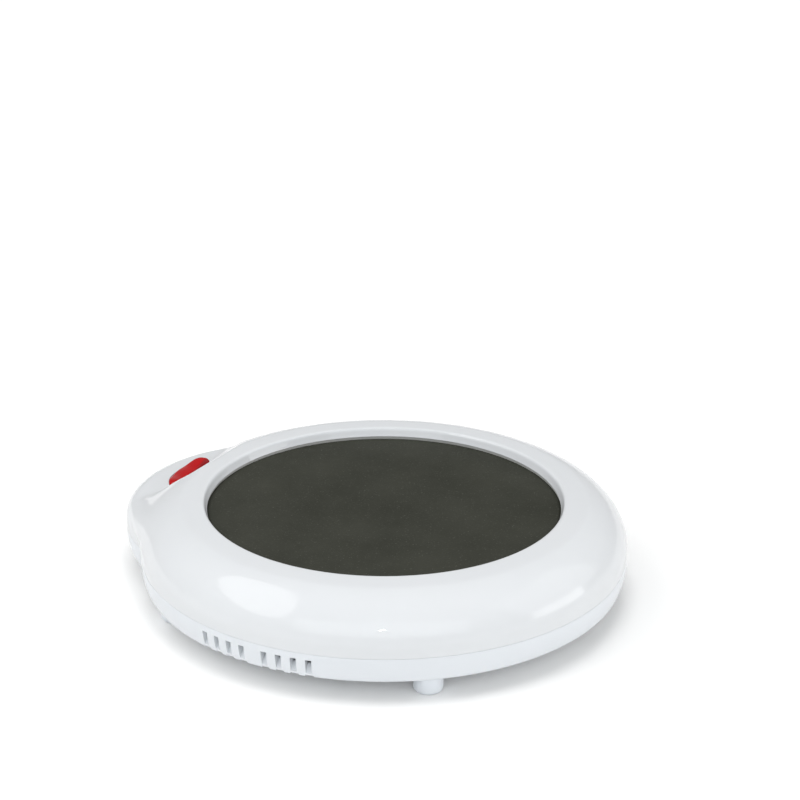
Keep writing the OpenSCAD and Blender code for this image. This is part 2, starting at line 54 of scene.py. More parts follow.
# ---------------------------------------------------------------- mesh helpers
def new_object(name, verts_mm, faces, smooth=True, sharp=None):
    mesh = bpy.data.meshes.new(name)
    mesh.from_pydata([tuple(v) for v in to_m(verts_mm)], [], [tuple(int(i) for i in f) for f in faces])
    mesh.validate()
    bm = bmesh.new()
    bm.from_mesh(mesh)
    bmesh.ops.remove_doubles(bm, verts=bm.verts, dist=1e-7)
    bmesh.ops.dissolve_degenerate(bm, edges=bm.edges, dist=1e-8)
    bmesh.ops.recalc_face_normals(bm, faces=bm.faces)
    bm.to_mesh(mesh)
    bm.free()
    mesh.polygons.foreach_set("use_smooth", [smooth] * len(mesh.polygons))
    if sharp is not None:
        mesh.set_sharp_from_angle(angle=math.radians(sharp))
    mesh.update()
    o = bpy.data.objects.new(name, mesh)
    bpy.context.scene.collection.objects.link(o)
    return o


def grid_faces(nu, nv, wrap_u=True, wrap_v=False, base=0):
    """Quads of a grid stored row by row, nu rows of nv points."""
    faces = []
    for i in range(nu if wrap_u else nu - 1):
        a, b = i * nv, ((i + 1) % nu) * nv
        for j in range(nv if wrap_v else nv - 1):
            k = (j + 1) % nv
            faces.append((base + a + j, base + b + j, base + b + k, base + a + k))
    return faces


def revolve(profile, centre=(0, 0), n=96):
    """A body of revolution from (r, z) points. A profile that starts and ends on the axis is capped there."""
    prof = np.array(profile, float)
    a = np.linspace(0, 2 * math.pi, n, endpoint=False)
    v = np.stack([
        centre[0] + prof[None, :, 0] * np.cos(a)[:, None],
        centre[1] + prof[None, :, 0] * np.sin(a)[:, None],
        np.broadcast_to(prof[None, :, 1], (n, len(prof)))], -1).reshape(-1, 3)
    f = grid_faces(n, len(prof), True, True)
    return v, f


def arc(cx, cy, r, a0, a1, n):
    t = np.radians(np.linspace(a0, a1, n))
    return [(cx + r * math.cos(x), cy + r * math.sin(x)) for x in t]


def join_meshes(parts):
    vs, fs, base = [], [], 0
    for v, f in parts:
        vs.append(np.asarray(v, float))
        fs += [tuple(i + base for i in q) for q in f]
        base += len(v)
    return np.vstack(vs), fs


def cut(obj, cutter, sharp=35, own=False):
    """Takes cutter away from obj for good. own: obj's own bodies run into each other and become one."""
    mod = obj.modifiers.new("cut", "BOOLEAN")
    mod.operation, mod.solver, mod.object = "DIFFERENCE", "EXACT", cutter
    mod.use_self = own
    bpy.context.view_layer.update()
    dg = bpy.context.evaluated_depsgraph_get()
    made = bpy.data.meshes.new_from_object(obj.evaluated_get(dg))
    obj.modifiers.clear()
    old, obj.data = obj.data, made
    made.name = obj.name
    bpy.data.meshes.remove(old)
    bpy.data.objects.remove(cutter)
    made.polygons.foreach_set("use_smooth", [True] * len(made.polygons))
    made.set_sharp_from_angle(angle=math.radians(sharp))
    made.update()


def prism(points, axis0, axis1):
    """A closed prism: points is a ring of 3-D corners at one end, axis0 to axis1 the shift of the two ends."""
    p = np.array(points, float)
    n = len(p)
    v = np.vstack([p + np.array(axis0), p + np.array(axis1)])
    f = [tuple(range(n))[::-1], tuple(range(n, 2 * n))]
    f += [(i, (i + 1) % n, n + (i + 1) % n, n + i) for i in range(n)]
    return v, f


# ---------------------------------------------------------------- the case's shape
def smin(a, b, k):
    h = np.clip(0.5 + 0.5 * (b - a) / k, 0, 1)
    return b + (a - b) * h - k * h * (1 - h)


def smax(a, b, k):
    return -smin(-a, -b, k)


def smooth(x, a, b):
    t = np.clip((x - a) / (b - a), 0, 1)
    return t * t * (3 - 2 * t)


SE_R, SE_A, SE_Z, SE_B, SE_N = 50.0, 12.95, 14.44, 11.66, 1.86
TAN5, SIN5, COS5 = math.tan(math.radians(5)), math.sin(math.radians(5)), math.cos(math.radians(5))
FACET_Y, FACET_Z = 60.2, 19.25
FACET = math.radians(38.5)


def ring_f(r, z):
    """Rough signed distance to the round case's outer surface, negative inside."""
    u = np.maximum(r - SE_R, 0) / SE_A
    w = np.maximum(z - SE_Z, 0) / SE_B
    g = np.maximum(u ** SE_N + w ** SE_N, 1e-9)
    s = g ** (1 / SE_N)
    gu = g ** (1 / SE_N - 1) * np.maximum(u, 1e-9) ** (SE_N - 1) / SE_A
    gw = g ** (1 / SE_N - 1) * np.maximum(w, 1e-9) ** (SE_N - 1) / SE_B
    f = (s - 1) / np.maximum(np.hypot(gu, gw), 1e-3)
    band = (z - (Z_TOP - (r - 47.2) * 0.046)) * 0.999
    return smax(f, band, 0.16)


def lobe_f(x, y, z):
    rho = np.hypot(x, y - LOBE_Y)
    a, b = rho - (LOBE_R - 3.85), z - 14.6
    plane = a * SIN5 + b * COS5 - 3.85
    wall = a - 3.85
    rnd = np.hypot(np.maximum(a, 0), np.maximum(b, 0)) - 3.85
    f = np.where(b <= 0, wall, np.where(a > b * TAN5, rnd, plane))
    return np.where((b <= 0) & (a < 0), np.maximum(wall, plane), f)


def case_f(x, y, z):
    r = np.hypot(x, y)
    # behind, a flat is cut from the dome down to the rocker's straight side
    flat = (z - FACET_Z) * math.cos(FACET) + (y - FACET_Y) * math.sin(FACET)
    aside = np.abs(x)
    flat = flat - 2.2 * smooth(aside, 10.0, 26.0)
    ring = smax(ring_f(r, z), flat, 0.7)
    high = smooth(z, 13.0, 18.0)
    k = 0.45 + smooth(aside, 9.6, 22.0) * (0.65 + 5.2 * high)
    return smin(ring, lobe_f(x, y, z), k)


def hits(theta, phi, centre, level=0.0, reach=32.0):
    """Distance along rays, in vertical planes through the plate's axis, to where case_f is level."""
    ct, st = np.cos(theta)[:, None], np.sin(theta)[:, None]
    cp, sp = np.cos(phi), np.sin(phi)
    lo = np.zeros(np.broadcast_shapes(ct.shape, cp.shape))
    hi = np.full_like(lo, reach)

    def f(t):
        r = centre[0] + t * cp
        z = centre[1] + t * sp
        return case_f(r * ct, r * st, z) - level

    # the nearest crossing outwards from the middle of the wall
    steps = 96
    t_in = lo.copy()
    t_out = np.full_like(lo, reach)
    found = np.zeros(lo.shape, bool)
    for k in range(1, steps + 1):
        t = np.full_like(lo, reach * k / steps)
        out = (f(t) > 0) & ~found
        t_out[out] = t[out]
        t_in[out] = t[out] - reach / steps
        found |= out
    for _ in range(26):
        mid = (t_in + t_out) / 2
        o = f(mid) > 0
        t_out = np.where(o, mid, t_out)
        t_in = np.where(o, t_in, mid)
    return (t_in + t_out) / 2


def outer_curves(n_theta, n_keep, z0, level=0.0, turn=9.0):
    """For each angle round the plate, points from the wall at z0 up and in to the flat band, spaced by length and by how much the surface turns."""
    theta = np.linspace(0, 2 * math.pi, n_theta, endpoint=False)
    theta = theta + 0.5 * np.cos(theta)  # the steps are half as long at the lobe, and longer in front
    rc = 49.0
    # angles, closer together near the horizontal because the lobe's deck is seen at a glance from the middle
    q = np.linspace(0, 1, 420)
    phi = (math.pi / 2) * (0.42 * q + 0.58 * q ** 2.2)
    t = hits(theta, phi[None, :], (rc, z0), level)
    r = rc + t * np.cos(phi)[None, :]
    z = z0 + t * np.sin(phi)[None, :]
    out = np.zeros((n_theta, n_keep, 2))
    for i in range(n_theta):
        dr, dz = np.diff(r[i]), np.diff(z[i])
        ds = np.hypot(dr, dz)
        ang = np.unwrap(np.arctan2(dz, dr))
        bend = np.abs(np.diff(ang, prepend=ang[:1]))
        bend = np.convolve(bend, np.ones(9) / 9, mode="same")
        w = ds + turn * bend
        c = np.concatenate([[0], np.cumsum(w)])
        s = np.linspace(0, c[-1], n_keep)
        out[i, :, 0] = np.interp(s, c, r[i])
        out[i, :, 1] = np.interp(s, c, z[i])
    return theta, out


def shell_cover():
    n_theta, n_out, n_in = ((600, 108, 24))
    z0 = Z_SEAM + 0.16
    theta, outer = outer_curves(n_theta, n_out, z0)
    _, inner = outer_curves(n_theta, n_in, z0, level=-2.0)
    # the lower edge: a small round at the outside, flat under, chamfer inside
    def const(points):
        return np.broadcast_to(np.array(points, float)[None], (n_theta, len(points), 2))
    edge = []
    for dr, dz in ((0.0, -0.06), (-0.01, -0.09), (-0.03, -0.11), (-0.06, -0.12), (-0.9, -0.12)):
        e = outer[:, :1, :].copy()
        e[:, :, 0] += dr
        e[:, :, 1] += dz
        edge.append(e)
    edge_in = inner[:, :1, :].copy()
    edge_in[:, :, 1] = z0 - 0.12
    rim = const([(47.6, Z_TOP - 0.018), (47.1, Z_TOP), (46.88, Z_TOP - 0.025), (46.68, Z_TOP - 0.09), (46.50, Z_TOP - 0.21), (46.36, Z_TOP - 0.38),
                 (46.24, Z_TOP - 0.62), (46.13, Z_TOP - 0.92), (46.01, Z_TOP - 1.26), (45.88, Z_TOP - 1.62), (45.75, Z_TOP - 1.95), (45.66, Z_TOP - 2.15),
                 (45.64, Z_TOP - 2.22), (45.70, Z_TOP - 2.26), (47.2, Z_TOP - 2.26), (48.6, Z_TOP - 2.26), (48.6, Z_TOP - 2.0)])
    ring = np.concatenate([edge_in, *edge[::-1], outer, rim, inner[:, ::-1, :]], axis=1)
    m = ring.shape[1]
    ct, st = np.cos(theta)[:, None], np.sin(theta)[:, None]
    v = np.stack([ring[:, :, 0] * ct, ring[:, :, 0] * st, ring[:, :, 1]], -1).reshape(-1, 3)
    return v, grid_faces(n_theta, m, True, True)


def outline(theta, inset, k=1.0):
    """Radius of the case's outline from the plate's axis, moved in by inset."""
    c, s = np.cos(theta), np.sin(theta)
    lo, hi = np.full(theta.shape, 40.0), np.full(theta.shape, 80.0)
    for _ in range(40):
        mid = (lo + hi) / 2
        f = smin(mid - (62.95 - inset), np.hypot(mid * c, mid * s - LOBE_Y) - (LOBE_R - 0.04 - inset), k)
        o = f > 0
        hi = np.where(o, mid, hi)
        lo = np.where(o, lo, mid)
    return (lo + hi) / 2


def shell_base():
    n_theta = 1080
    theta = np.linspace(0, 2 * math.pi, n_theta, endpoint=False)
    zs = Z_SEAM
    # (inset, height) from the top edge down the outside and in under
    wall = [(0.9, zs), (0.07, zs), (0.03, zs - 0.01), (0.005, zs - 0.03), (-0.01, zs - 0.07), (-0.03, zs - 0.6), (-0.03, zs - 1.2),
            (0.01, zs - 1.9), (0.07, zs - 2.5), (0.16, zs - 3.1), (0.27, zs - 3.7), (0.40, zs - 4.3), (0.55, zs - 4.9), (0.70, zs - 5.4),
            (0.82, zs - 5.75), (0.94, zs - 6.05), (1.06, zs - 6.28), (1.20, zs - 6.45), (1.38, zs - 6.58), (1.62, zs - 6.67), (1.95, Z_BOT), (4.5, Z_BOT)]
    rows = [np.stack([outline(theta, d), np.full(n_theta, z)], -1) for d, z in wall]
    foot = rows[-1][:, 0]
    for s in (0.86, 0.7, 0.52, 0.34, 0.18, 0.06):
        rows.append(np.stack([foot * s, np.full(n_theta, Z_BOT)], -1))
    bottom_centre = len(rows)
    outside = rows
    inside = [np.stack([outline(theta, 2.4) * s, np.full(n_theta, Z_BOT + 2.0)], -1) for s in (0.06, 0.2, 0.4, 0.6, 0.8, 0.94)]
    inside += [np.stack([outline(theta, d), np.full(n_theta, z)], -1) for d, z in ((2.9, Z_BOT + 2.0), (2.5, Z_BOT + 2.1), (2.4, Z_BOT + 2.5), (2.4, Z_BOT + 4.5), (2.4, zs - 0.3), (2.3, zs))]
    ct, st = np.cos(theta), np.sin(theta)

    def put(rows):
        a = np.stack(rows, 1)
        return np.stack([a[:, :, 0] * ct[:, None], a[:, :, 0] * st[:, None], a[:, :, 1]], -1)

    o, i = put(outside), put(inside)
    no, ni = o.shape[1], i.shape[1]
    v = np.concatenate([o, i], 1).reshape(-1, 3)
    m = no + ni
    faces = []
    for t in range(n_theta):
        a, b = t * m, ((t + 1) % n_theta) * m
        for j in range(no - 1):
            faces.append((a + j, b + j, b + j + 1, a + j + 1))
        for j in range(no, m - 1):
            faces.append((a + j, b + j, b + j + 1, a + j + 1))
        faces.append((a + m - 1, b + m - 1, b, a))
    vb = len(v)
    v = np.vstack([v, [[0, 0, Z_BOT], [0, 0, Z_BOT + 2.0]]])
    for t in range(n_theta):
        a, b = t * m, ((t + 1) % n_theta) * m
        faces.append((a + no - 1, b + no - 1, vb))
        faces.append((b + no, a + no, vb + 1))
    return v, faces


# ---------------------------------------------------------------- rocker plan
ROCK_Y0, ROCK_R, ROCK_C = 60.2, 12.25, 60.2 - math.sqrt(12.25 ** 2 - 9.6 ** 2)


def half_moon(inset, corner=0.42, n_line=41, n_arc=61, n_c=9):
    """The rocker's plan moved in by inset: the straight side from -x to +x, then back along the curved side."""
    y0 = ROCK_Y0 + inset
    R = ROCK_R - inset
    rc = corner - inset
    pts = []
    if rc > 1e-6:
        # centre of the corner's round lies corner from both sides
        cy = ROCK_Y0 + corner
        cx = math.sqrt((ROCK_R - corner) ** 2 - (cy - ROCK_C) ** 2)
    else:
        rc = 0.0
        cy = y0
        cx = math.sqrt(max(R ** 2 - (y0 - ROCK_C) ** 2, 1e-8))
    a_arc = math.atan2(cy - ROCK_C, cx)
    for x in np.linspace(-cx, cx, n_line):
        pts.append((x, y0))
    for t in np.linspace(-math.pi / 2, a_arc, n_c)[1:-1]:
        pts.append((cx + rc * math.cos(t), cy + rc * math.sin(t)))
    for t in np.linspace(a_arc, math.pi - a_arc, n_arc):
        pts.append((R * math.cos(t), ROCK_C + R * math.sin(t)))
    for t in np.linspace(math.pi - a_arc, 1.5 * math.pi, n_c)[1:-1]:
        pts.append((-cx + rc * math.cos(t), cy + rc * math.sin(t)))
    return pts


TILT = math.radians(6.5)
PIVOT_Z = 15.1


def rocker_mesh():
    """The rocker is drawn level and then turned to its stop about its pin: two low crowns with a dip between them, and ends that roll over."""
    top_z = FACET_Z + 0.02
    crown_x = np.array([0, 1.2, 2.2, 3.2, 4.4, 5.4, 6.2, 6.9, 7.5, 8.0, 8.5, 9.0, 9.6, 10.4])
    crown_z = np.array([0.70, 0.64, 0.58, 0.62, 0.86, 1.10, 1.24, 1.24, 1.08, 0.78, 0.30, -0.35, -1.30, -2.6])
    fine = np.linspace(0, 10.4, 209)
    rough = np.interp(fine, crown_x, crown_z)
    pad = np.concatenate([rough[12:0:-1], rough, 2 * rough[-1] - rough[-2:-14:-1]])
    soft = np.convolve(pad, np.hanning(19) / np.hanning(19).sum(), mode="same")[12:-12]

    def top(x, y):
        across = y - (ROCK_Y0 + ROCK_C + math.sqrt(max(ROCK_R ** 2 - x ** 2, 0))) / 2
        return top_z + 0.22 + np.interp(np.abs(x), fine, soft) - TAN5 * (y - ROCK_Y0) - 0.075 * across ** 2

    e = 0.42
    rows = []
    for z in (13.9, 14.6, 15.6):
        rows.append([(x, y, z) for x, y in half_moon(0.0)])
    for a in np.radians(np.linspace(0, 90, 9)):
        d = e * (1 - math.cos(a))
        rows.append([(x, y, top(x, y) - e * (1 - math.sin(a))) for x, y in half_moon(d)])
    for d in np.linspace(e, 2.30, 12)[1:]:
        rows.append([(x, y, top(x, y)) for x, y in half_moon(d)])
    m = len(rows[0])
    v = np.array([p for row in rows for p in row], float)
    faces = []
    for i in range(len(rows) - 1):
        for j in range(m):
            k = (j + 1) % m
            faces.append((i * m + j, i * m + k, (i + 1) * m + k, (i + 1) * m + j))
    faces.append(tuple(range(m))[::-1])
    faces.append(tuple((len(rows) - 1) * m + j for j in range(m)))
    # hub round the pin and the plunger
    hub = [(-3, 59.6), (-2.6, 59.5), (2.6, 59.5), (3, 59.6), (3.1, 60.0), (3.1, 64.4), (3, 64.8), (2.6, 64.9), (-2.6, 64.9), (-3, 64.8), (-3.1, 64.4), (-3.1, 60.0)]
    hv, hf = prism([(x, y, 0) for x, y in hub], (0, 0, 11.75), (0, 0, 15.4))
    v, faces = join_meshes([(v, faces), (hv, hf)])
    return tipped(v), faces


def tipped(v):
    """Points of the level rocker turned to its stop."""
    v = np.array(v, float)
    c, s = math.cos(-TILT), math.sin(-TILT)
    x, z = v[:, 0].copy(), v[:, 2] - PIVOT_Z
    v[:, 0] = x * c + z * s
    v[:, 2] = PIVOT_Z - x * s + z * c
    return v


def rocker_bores():
    """The bore for the pin and, from below, the one for the plunger and its spring."""
    turn = np.linspace(0, 2 * math.pi, 48, endpoint=False) + 0.03
    pin = prism([(0.96 * math.cos(a), 0, PIVOT_Z + 0.96 * math.sin(a)) for a in turn], (0, 58, 0), (0, 68, 0))
    hole = prism([(1.3 * math.cos(a), 62.2 + 1.3 * math.sin(a), 0) for a in turn], (0, 0, 10.5), (0, 0, 13.8))
    return join_meshes([pin, (tipped(hole[0]), hole[1])])


# ---------------------------------------------------------------- materials
def nodes_of(name):
    m = bpy.data.materials.new(name)
    m.use_nodes = True
    t = m.node_tree
    t.nodes.clear()
    out = t.nodes.new("ShaderNodeOutputMaterial")
    b = t.nodes.new("ShaderNodeBsdfPrincipled")
    t.links.new(b.outputs["BSDF"], out.inputs["Surface"])
    return m, t, b


def noise(t, scale, detail=3.0, rough=0.55, coords=None, stretch=None):
    tc = coords or t.nodes.new("ShaderNodeTexCoord")
    n = t.nodes.new("ShaderNodeTexNoise")
    n.inputs["Scale"].default_value = scale
    n.inputs["Detail"].default_value = detail
    n.inputs["Roughness"].default_value = rough
    if stretch:
        mp = t.nodes.new("ShaderNodeMapping")
        mp.inputs["Scale"].default_value = stretch
        t.links.new(tc.outputs["Object"], mp.inputs["Vector"])
        t.links.new(mp.outputs["Vector"], n.inputs["Vector"])
    else:
        t.links.new(tc.outputs["Object"], n.inputs["Vector"])
    return n


def ramp(t, source, stops):
    r = t.nodes.new("ShaderNodeValToRGB")
    t.links.new(source, r.inputs["Fac"])
    e = r.color_ramp.elements
    while len(e) < len(stops):
        e.new(0.5)
    for k, (p, c) in enumerate(stops):
        e[k].position = p
        e[k].color = (*c, 1) if len(c) == 3 else c
    return r


def grey(v):
    return (v, v, v)


def bump(t, b, source, strength, distance):
    n = t.nodes.new("ShaderNodeBump")
    n.inputs["Strength"].default_value = strength
    n.inputs["Distance"].default_value = distance
    t.links.new(source, n.inputs["Height"])
    t.links.new(n.outputs["Normal"], b.inputs["Normal"])
    return n


def plastic(name, color, rough=(0.16, 0.24), vary=0.012, coat=0.0, coat_rough=0.08, peel=0.00002, grain=0.0, spec=0.5, scale=60):
    """Moulded plastic: a slow drift of tone, uneven gloss and a faint ripple from the mould."""
    m, t, b = nodes_of(name)
    tc = t.nodes.new("ShaderNodeTexCoord")
    n1 = noise(t, scale, 4, 0.6, tc)
    lo = tuple(max(c - vary, 0) for c in color)
    hi = tuple(min(c + vary, 1) for c in color)
    r1 = ramp(t, n1.outputs["Fac"], [(0.3, lo), (0.7, hi)])
    t.links.new(r1.outputs["Color"], b.inputs["Base Color"])
    n2 = noise(t, scale * 6, 3, 0.6, tc)
    r2 = ramp(t, n2.outputs["Fac"], [(0.35, grey(rough[0])), (0.65, grey(rough[1]))])
    t.links.new(r2.outputs["Color"], b.inputs["Roughness"])
    b.inputs["Specular IOR Level"].default_value = spec
    b.inputs["IOR"].default_value = 1.5
    if coat:
        b.inputs["Coat Weight"].default_value = coat
        b.inputs["Coat Roughness"].default_value = coat_rough
    n3 = noise(t, 2600 if grain else 140, 2, 0.5, tc)
    bump(t, b, n3.outputs["Fac"], 0.35 if grain else 0.25, grain or peel)
    return m


def metal(name, color, rough=(0.22, 0.38), scale=300, stretch=(1, 1, 1), bumpy=0.00001, vary=0.05):
    m, t, b = nodes_of(name)
    tc = t.nodes.new("ShaderNodeTexCoord")
    n1 = noise(t, scale, 4, 0.6, tc, stretch)
    r1 = ramp(t, n1.outputs["Fac"], [(0.3, tuple(max(c - vary, 0) for c in color)), (0.7, tuple(min(c + vary, 1) for c in color))])
    t.links.new(r1.outputs["Color"], b.inputs["Base Color"])
    b.inputs["Metallic"].default_value = 1.0
    r2 = ramp(t, n1.outputs["Fac"], [(0.3, grey(rough[0])), (0.7, grey(rough[1]))])
    t.links.new(r2.outputs["Color"], b.inputs["Roughness"])
    n3 = noise(t, scale * 4, 2, 0.5, tc, stretch)
    bump(t, b, n3.outputs["Fac"], 0.3, bumpy)
    return m


M = {}
M["case"] = plastic("case_gloss_white", (0.690, 0.702, 0.715), rough=(0.40, 0.50), vary=0.005, spec=0.15, coat=0.68, coat_rough=0.025, peel=0.000008)
# painted light: the base's white is a lighter, bluer copy of the case's white, standing in for bounce from the floor
# and cool light on the lower wall
M["base"] = plastic("base_white_painted_bounce", (0.705, 0.728, 0.755), rough=(0.40, 0.50), vary=0.005, spec=0.15, coat=0.5, coat_rough=0.05, peel=0.000008)
M["foot"] = plastic("foot_soft_white", (0.74, 0.77, 0.805), rough=(0.38, 0.5), vary=0.012, spec=0.3, grain=0.00001)
M["rocker"] = plastic("rocker_gloss_red", (0.41, 0.004, 0.006), rough=(0.34, 0.44), vary=0.006, spec=0.04, coat=0.38, coat_rough=0.03, peel=0.000008)
M["gasket"] = plastic("gasket_grey_silicone", (0.50, 0.50, 0.48), rough=(0.5, 0.65), vary=0.02, grain=0.00002)
M["mica"] = plastic("mica_sheet", (0.55, 0.45, 0.30), rough=(0.35, 0.6), vary=0.08, grain=0.00003, scale=420)
M["ribbon"] = metal("resistance_ribbon", (0.40, 0.38, 0.36), rough=(0.35, 0.5))
M["brass"] = metal("stamped_brass", (0.72, 0.52, 0.22), rough=(0.2, 0.34), vary=0.03)
M["zinc"] = metal("zinc_plate", (0.60, 0.61, 0.63), rough=(0.22, 0.40), vary=0.05)
M["screw"] = metal("screw_zinc", (0.62, 0.62, 0.62), rough=(0.2, 0.36), vary=0.06, scale=900)
M["alu"] = metal("rolled_aluminium", (0.78, 0.79, 0.80), rough=(0.16, 0.30), stretch=(1, 14, 1), vary=0.03)
M["fuse"] = metal("tinned_can", (0.68, 0.69, 0.70), rough=(0.14, 0.26), vary=0.03)
M["sleeve"] = plastic("woven_sleeve", (0.78, 0.74, 0.62), rough=(0.45, 0.7), vary=0.06, grain=0.00006, scale=900)
M["nylon"] = plastic("nylon_natural", (0.80, 0.78, 0.70), rough=(0.35, 0.5), vary=0.02, grain=0.00001)
M["black"] = plastic("housing_black", (0.018, 0.018, 0.019), rough=(0.32, 0.5), vary=0.006, grain=0.00002)
M["lead"] = plastic("lead_insulation", (0.78, 0.78, 0.76), rough=(0.3, 0.42), vary=0.02)
M["splice"] = plastic("splice_ivory", (0.76, 0.72, 0.58), rough=(0.32, 0.48), vary=0.02)
M["gland"] = plastic("gland_white", (0.74, 0.75, 0.76), rough=(0.36, 0.48), vary=0.012, grain=0.00002)


def plate_material():
    """Dark non-stick coating: a fine sprayed grain and a faint sparkle."""
    m, t, b = nodes_of("plate_nonstick")
    tc = t.nodes.new("ShaderNodeTexCoord")
    n1 = noise(t, 55, 5, 0.6, tc)
    base = ramp(t, n1.outputs["Fac"], [(0.3, (0.026, 0.027, 0.019)), (0.7, (0.040, 0.041, 0.031))])
    n2 = noise(t, 2200, 2, 0.6, tc)
    fleck = ramp(t, n2.outputs["Fac"], [(0.62, grey(0.0)), (0.74, grey(1.0))])
    mix = t.nodes.new("ShaderNodeMix")
    mix.data_type = "RGBA"
    t.links.new(fleck.outputs["Color"], mix.inputs[0])
    t.links.new(base.outputs["Color"], mix.inputs[6])
    mix.inputs[7].default_value = (0.085, 0.086, 0.072, 1)
    t.links.new(mix.outputs[2], b.inputs["Base Color"])
    n3 = noise(t, 30, 3, 0.5, tc)
    r = ramp(t, n3.outputs["Fac"], [(0.3, grey(0.50)), (0.7, grey(0.62))])
    t.links.new(r.outputs["Color"], b.inputs["Roughness"])
    b.inputs["Specular IOR Level"].default_value = 0.16
    n4 = noise(t, 1500, 3, 0.6, tc)
    bump(t, b, n4.outputs["Fac"], 0.6, 0.00006)
    return m


M["plate"] = plate_material()


def give(o, mat):
    o.data.materials.clear()
    o.data.materials.append(M[mat])


# ---------------------------------------------------------------- the pieces
def settle(o, body, *nodes):
    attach(o, body)
    if nodes:
        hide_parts(*nodes)
    return o


# cover
cover = new_object("cover_shell", *shell_cover(), sharp=40)
window = []
for x, y in half_moon(-0.36, corner=0.38, n_line=20, n_arc=44, n_c=7):  # even counts keep its corners off the mesh line at x = 0
    window.append((x, y, 0))
wv, wf = prism(window, (0, 0, 14.3), (0, 0, 27))
gx, gy = math.sin(GLAND_AZ), math.cos(GLAND_AZ)


def gland_point(along, side, up):
    return (gx * along + gy * side, LOBE_Y + gy * along - gx * side, Z_SEAM - 0.5 + up)


def gland_ring(r, n=48):
    return [gland_point(0, r * math.cos(a), r * math.sin(a)) for a in np.linspace(0, 2 * math.pi, n, endpoint=False)]


def along(d):
    return (gx * d, gy * d, 0)


gv, gf = prism(gland_ring(3.47), along(35.9), along(42))
cutter = new_object("cutter", *join_meshes([(wv, wf), (gv, gf)]), smooth=False)
cut(cover, cutter, sharp=40)
give(cover, "case")
settle(cover, "case", "top_cover")

# base
base = new_object("base_shell_smooth", *shell_base(), sharp=40)
cutters = []
VENT_W = 1.55
for s in (0, 1):
    for m_ in (-1, 1):
        for k_ in range(4):
            a = math.radians(180 * s + m_ * (2.9 + 3.53 * k_))
            for w, ring in ((VENT_W, [(58, 10.6), (66, 10.6), (66, 6.65), (62.32, 6.65), (61.95, 7.1), (61.6, 7.7), (61.1, 8.4), (60.2, 9.0), (58, 9.0)]),
                            (2.2, [(60.6, 4.6), (66, 4.6), (66, 6.15), (62.2, 6.32), (61.5, 6.25), (61.0, 5.95)])):
                pts = [(r_ * math.cos(a) + w / 2 * math.sin(a), r_ * math.sin(a) - w / 2 * math.cos(a), z_) for r_, z_ in ring]
                cutters.append(prism(pts, (0, 0, 0), (-w * math.sin(a), w * math.cos(a), 0)))
for bx, by in ((0, -54.5), (30, 45.5), (-30, 45.5)):
    ringp = [(bx + 3.1 * math.cos(a), by + 3.1 * math.sin(a), 0) for a in np.linspace(0, 2 * math.pi, 48, endpoint=False) + 0.05]
    cutters.append(prism(ringp, (0, 0, 4.5), (0, 0, 7.3)))
cutters.append(prism(gland_ring(3.47), along(35.9), along(42)))
cutter = new_object("cutter", *join_meshes(cutters), smooth=False)
cut(base, cutter, sharp=40)
give(base, "base")
settle(base, "case", "base_shell")

# feet
parts = []
for sx in (-1, 1):
    for sy in (-1, 1):
        prof = [(0.001, 0.0), (1.6, 0.0), (2.5, 0.03)] + arc(2.55, 1.13, 1.1, -88, 0, 10) + [(3.66, 3.0), (3.68, 5.48), (0.001, 5.48)]
        parts.append(revolve(prof, (sx * 42.3, sy * 36.7), 64))
feet = new_object("foot_set", *join_meshes(parts), sharp=50)
give(feet, "foot")
settle(feet, "case", "feet")

# plate
prof = [(0.001, Z_PLATE), (12, Z_PLATE), (24, Z_PLATE), (34, Z_PLATE), (42, Z_PLATE), (44.4, Z_PLATE), (45.12, Z_PLATE)] + arc(45.12, Z_PLATE - 0.18, 0.18, 90, 0, 6) + \
       [(45.34, Z_PLATE - 0.27), (45.5, Z_PLATE - 0.3), (47.4, Z_PLATE - 0.3)] + arc(47.4, Z_PLATE - 0.9, 0.6, 90, 0, 6) + \
       [(48.0, Z_PLATE - 4.1), (47.9, Z_PLATE - 4.2), (47.1, Z_PLATE - 4.2), (47.0, Z_PLATE - 4.1), (47.0, Z_PLATE - 1.0), (0.001, Z_PLATE - 1.0)]
pv = [revolve(prof, (0, 0), 240)]
for a in (90, 210, 330):
    cx, cy = 24 * math.cos(math.radians(a)), 24 * math.sin(math.radians(a))
    pv.append(revolve([(0.001, Z_PLATE - 6.6), (1.2, Z_PLATE - 6.6), (1.45, Z_PLATE - 6.3), (1.45, Z_PLATE - 0.6), (0.001, Z_PLATE - 0.6)], (cx, cy), 32))
plate = new_object("plate_disc", *join_meshes(pv), sharp=35)
give(plate, "plate")
settle(plate, "case", "warming_plate")

# rocker
rocker = new_object("rocker_cap", *rocker_mesh(), sharp=38)
cut(rocker, new_object("cutter", *rocker_bores(), smooth=False), sharp=38, own=True)
give(rocker, "rocker")
settle(rocker, "rocker", "switch_rocker")

# gland
prof = [(2.6, 0), (4.05, 0), (4.05, 1.6), (3.44, 1.6), (3.44, 5.75), (4.3, 5.75), (4.48, 5.85), (4.5, 6.0), (4.5, 6.4), (4.4, 6.75), (4.1, 6.98), (3.2, 7.0), (2.85, 6.93), (2.62, 6.7)]
pr = np.array(prof)
ang = np.linspace(0, 2 * math.pi, 72, endpoint=False)
gvv = []
for a in ang:
    for r_, z_ in pr:
        gvv.append(gland_point(LOBE_R - 5.3 + z_, r_ * math.cos(a), r_ * math.sin(a)))
gland = new_object("gland_bush", np.array(gvv), grid_faces(len(ang), len(pr), True, True), sharp=35)
give(gland, "gland")
settle(gland, "case", "cord_gland")


